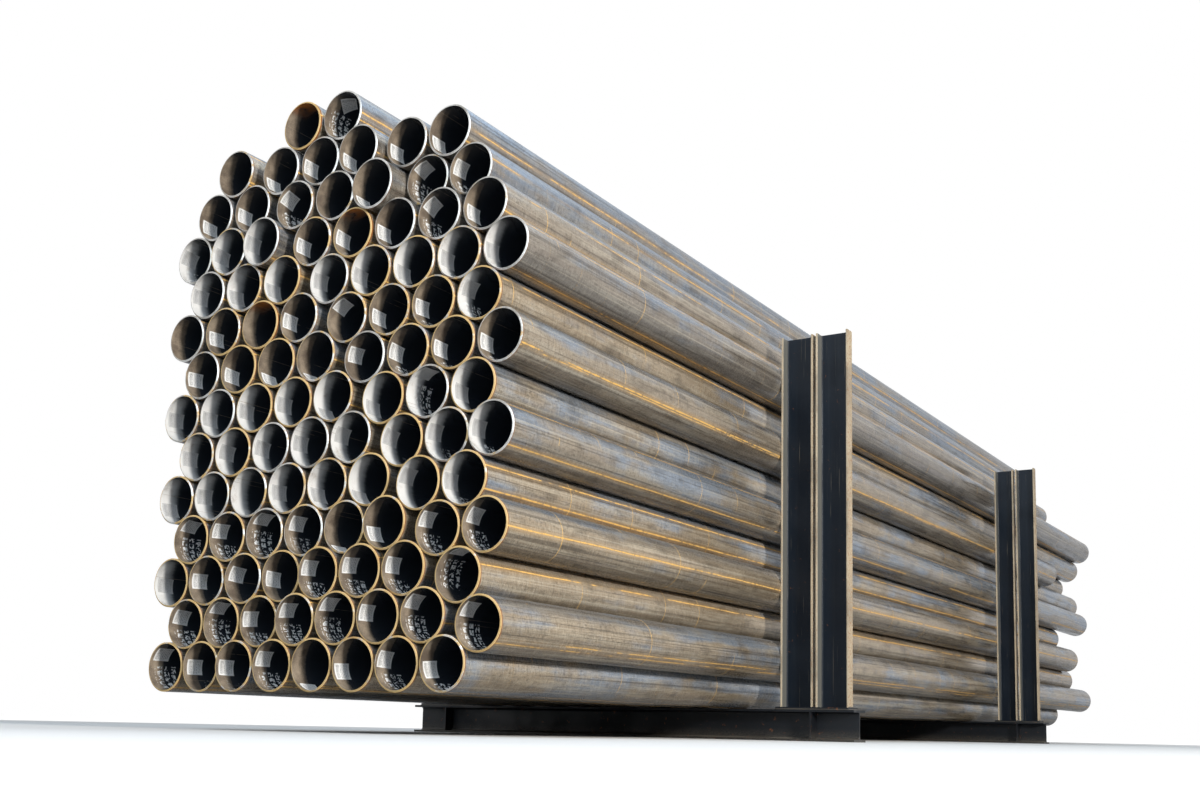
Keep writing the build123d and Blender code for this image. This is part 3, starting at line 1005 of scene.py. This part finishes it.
class PIPESTACK_OT_rack(bpy.types.Operator):
    """Paint the posts, base plates and sleepers"""

    bl_idname = "pipestack.rack"
    bl_label = "Rack"

    def execute(self, context):
        look = context.scene.rack_look
        groups = {"wear": wear_group()}
        dark = principled("sleeper_paint", sleeper_shading, look, groups, Specular_IOR_Level=0.3)
        posts = {}
        for place in ("back", "front"):
            boxes = [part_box(name) for name in RACK_NODES if name.startswith("post_" + place)]
            low, high = box_of([corner for box in boxes for corner in box])
            backs = sorted({round(max(abs(left.x), abs(right.x)), 4) for left, right in boxes})
            posts[place] = principled(
                f"{place}_posts", post_shading, look, groups, low, high, backs, Specular_IOR_Level=0.2
            )
        for name in RACK_NODES:
            kind, place = name.split("_")[:2]
            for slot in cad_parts[name].material_slots:
                slot.material = posts[place] if kind == "post" else dark
        return {"FINISHED"}


def add_lamp(name, watts):
    """A square soft box that faces a point."""
    place, aim, side, colour = LAMPS[name]
    data = bpy.data.lights.new(name, "AREA")
    data.shape = "SQUARE"
    data.size = side
    data.energy = watts
    data.color = colour
    made = place_object(name, data)
    made.location = place
    made.rotation_euler = (Vector(aim) - Vector(place)).to_track_quat("-Z", "Y").to_euler()


def add_camera(look):
    """The photograph's camera, which looks along +Y before it is turned."""
    data = bpy.data.cameras.new("camera")
    data.sensor_width = FILM_WIDTH
    data.lens = look.focal / PHOTO_WIDTH * FILM_WIDTH
    data.shift_y = (look.centre_y - PHOTO_HEIGHT / 2) / PHOTO_WIDTH
    data.clip_end = VIEW_DEPTH
    made = place_object("camera", data)
    turned = Matrix.Rotation(-look.yaw, 4, "Z") @ Matrix.Rotation(math.radians(90) + look.pitch, 4, "X")
    turned = turned @ Matrix.Rotation(look.roll, 4, "Z")
    made.matrix_world = Matrix.Translation(Vector(look.place)) @ turned
    bpy.context.scene.camera = made


def add_floor(look):
    """A wide pale floor that goes to the horizon."""
    mesh = bpy.data.meshes.new("floor")
    corners = [(x * FLOOR_REACH, y * FLOOR_REACH, 0.0) for x, y in ((-1, -1), (1, -1), (1, 1), (-1, 1))]
    mesh.from_pydata(corners, [], [(0, 1, 2, 3)])
    mesh.materials.append(principled("floor", floor_shading, look, Emission_Strength=1.0))
    place_object("floor", mesh)


def add_sky(look):
    """A white world that lights matt surfaces less than it is seen."""
    world = bpy.data.worlds.new("studio")
    world.use_nodes = True
    bpy.context.scene.world = world
    nodes = Nodes(world.node_tree)
    background = world.node_tree.nodes["Background"]
    nodes.feed(background.inputs["Color"], (1.0, 1.0, 1.0))
    nodes.feed(background.inputs["Strength"], seen_rays(nodes) * (1.0 - look.ambient) + look.ambient)


class PIPESTACK_OT_stage(bpy.types.Operator):
    """Set up the floor, the lamps, the sky and the camera"""

    bl_idname = "pipestack.stage"
    bl_label = "Stage"

    def execute(self, context):
        look = context.scene.stage_look
        context.scene.view_settings.view_transform = "Standard"
        add_sky(look)
        for name in LAMPS:
            add_lamp(name, getattr(look, name))
        add_floor(look)
        add_camera(look)
        return {"FINISHED"}


class PIPESTACK_PT_panel(bpy.types.Panel):
    """Buttons for the pieces and fields for their sizes and colours"""

    bl_label = "Pipe stack"
    bl_idname = "PIPESTACK_PT_panel"
    bl_space_type = "VIEW_3D"
    bl_region_type = "UI"
    bl_category = "Pipes"

    def draw(self, context):
        for operator in OPERATORS:
            self.layout.operator(operator.bl_idname)
        for name, group in LOOKS.items():
            box = self.layout.box()
            look = getattr(context.scene, name)
            for key in group.__annotations__:
                box.prop(look, key)


LOOKS = {"pipe_look": PipeLook, "label_look": LabelLook, "rack_look": RackLook, "stage_look": StageLook}
OPERATORS = (PIPESTACK_OT_pipes, PIPESTACK_OT_labels, PIPESTACK_OT_rack, PIPESTACK_OT_stage)


def register():
    """Make the property groups, operators and panel known to Blender."""
    for made in (*LOOKS.values(), *OPERATORS, PIPESTACK_PT_panel):
        bpy.utils.register_class(made)
    for name, group in LOOKS.items():
        setattr(bpy.types.Scene, name, PointerProperty(type=group))


def unregister():
    """Take them away again."""
    for name in LOOKS:
        delattr(bpy.types.Scene, name)
    for made in reversed((*LOOKS.values(), *OPERATORS, PIPESTACK_PT_panel)):
        bpy.utils.unregister_class(made)


def main():
    """Dress the stack, one operator after another."""
    register()
    bpy.ops.pipestack.pipes()
    bpy.ops.pipestack.labels()
    bpy.ops.pipestack.rack()
    bpy.ops.pipestack.stage()


if __name__ == "__main__":
    main()
